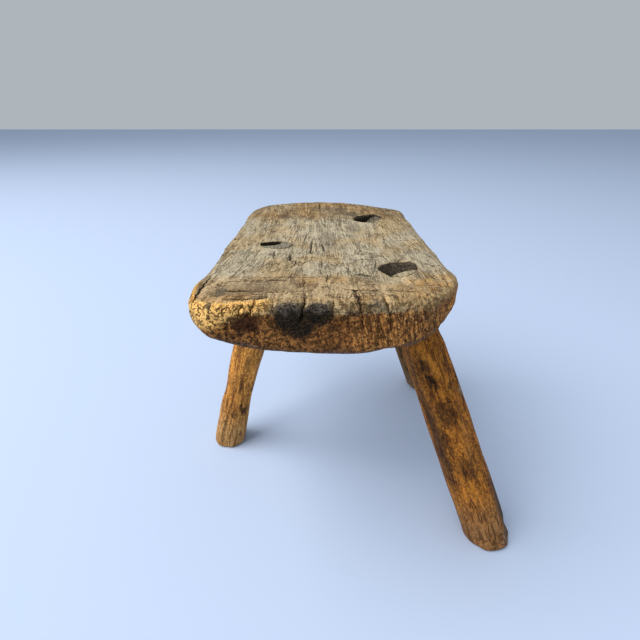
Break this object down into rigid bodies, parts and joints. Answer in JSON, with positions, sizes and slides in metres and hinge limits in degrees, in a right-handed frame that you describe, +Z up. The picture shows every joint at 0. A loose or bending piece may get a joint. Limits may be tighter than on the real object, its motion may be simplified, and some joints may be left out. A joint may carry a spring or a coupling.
{
  "type": "milking stool",
  "caption": "Low rustic wooden milking stool: a thick scooped half-log seat slab on splayed round legs whose tenons run up through slanted holes in the seat.",
  "frame": {"origin": "On the floor, under the middle of the whole stool's bounding box.", "axes": "+Z up. Y runs along the seat and its grain: -Y is the near end, +Y the far end. X runs across the seat: the single leg stands on the -X side and the pair on the +X side."},
  "size_m": [0.3076, 0.307, 0.261],
  "materials": {
    "seat_wood": "bare, weathered and worn grey-tan, darker and pitted on the end faces",
    "leg_left_wood": "shaved, hand-worn honey brown with dark streaks",
    "leg_right_front_wood": "shaved, hand-worn orange brown with dark patches",
    "leg_right_back_wood": "shaved, hand-worn brown"
  },
  "bodies": {
    "root": {"seat_plank": "seat_wood", "leg_left": "leg_left_wood", "leg_right_front": "leg_right_front_wood", "leg_right_back": "leg_right_back_wood"}
  },
  "joints": []
}
